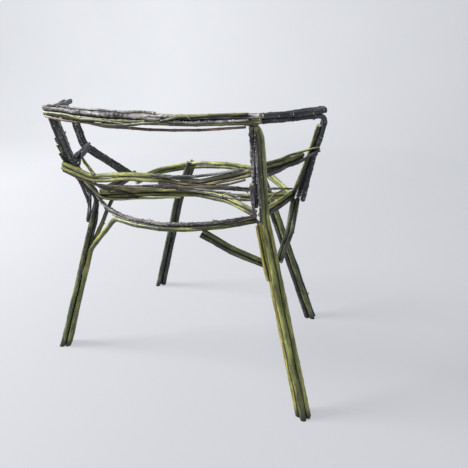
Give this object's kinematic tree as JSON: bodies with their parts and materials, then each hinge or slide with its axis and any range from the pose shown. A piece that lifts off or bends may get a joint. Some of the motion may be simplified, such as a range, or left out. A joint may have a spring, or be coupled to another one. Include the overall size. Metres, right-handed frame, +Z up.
{
  "type": "twig armchair",
  "caption": "Open rustic armchair frame of round bark-covered rods laid in bundles: splayed legs, a seat frame with a cross band, posts, arms and a back rail.",
  "frame": {"origin": "middle of the chair at floor level", "axes": "+Z up, the sitter faces -Y, +X is the sitter's left"},
  "size_m": [0.7344, 0.4238, 0.6664],
  "materials": {
    "green_bark": "smooth green bark, satin",
    "knobbly_bark": "knobbly grey-purple bark with pale bud scars",
    "dark_bark": "dark green-black bark",
    "brown_bark": "thin red-brown bark",
    "nail_steel": "dull cut steel"
  },
  "bodies": {
    "root": {"back_middle_lower": "green_bark", "back_middle_twig": "brown_bark", "back_middle_upper": "green_bark", "back_rail_loose": "brown_bark", "back_rail_lower": "green_bark", "back_rail_upper_front": "knobbly_bark", "back_rail_upper_rear": "green_bark", "band_rear_lower": "green_bark", "band_rear_upper": "green_bark", "band_side_lower": "green_bark", "band_side_upper": "green_bark", "cut_nails": "nail_steel", "front_rail_lower": "green_bark", "front_rail_upper": "green_bark", "left_arm_hoop": "dark_bark", "left_arm_inner": "knobbly_bark", "left_arm_outer": "dark_bark", "left_brace": "dark_bark", "left_edge_inner": "green_bark", "left_edge_outer": "green_bark", "left_edge_top": "green_bark", "left_front_leg_front_inner": "green_bark", "left_front_leg_front_outer": "green_bark", "left_front_leg_rear_outer": "green_bark", "left_front_post_front": "dark_bark", "left_front_post_inner": "dark_bark", "left_link_twig": "green_bark", "left_middle_lower": "knobbly_bark", "left_middle_upper": "dark_bark", "left_post_knobbly": "knobbly_bark", "left_rear_leg_bent": "green_bark", "left_rear_leg_outer_front": "green_bark", "left_rear_leg_outer_rear": "green_bark", "left_rear_leg_strut": "dark_bark", "rear_brace_lower": "green_bark", "rear_brace_upper": "green_bark", "rear_rail_front": "green_bark", "rear_rail_knobbly": "knobbly_bark", "right_arm_hoop": "dark_bark", "right_arm_inner": "knobbly_bark", "right_arm_outer": "dark_bark", "right_brace_inner": "green_bark", "right_brace_outer": "green_bark", "right_cross_twig": "knobbly_bark", "right_edge_inner": "green_bark", "right_edge_outer": "green_bark", "right_edge_top": "green_bark", "right_front_leg_front_inner": "green_bark", "right_front_leg_front_outer": "green_bark", "right_front_leg_rear_inner": "green_bark", "right_front_leg_rear_outer": "green_bark", "right_front_post_front": "knobbly_bark", "right_front_post_inner": "dark_bark", "right_middle_lower": "knobbly_bark", "right_middle_upper": "dark_bark", "right_post_knobbly": "knobbly_bark", "right_rear_leg_hoop": "green_bark", "right_rear_leg_inner_front": "green_bark", "right_rear_leg_inner_rear": "green_bark", "right_rear_leg_outer_rear": "green_bark"}
  },
  "joints": []
}
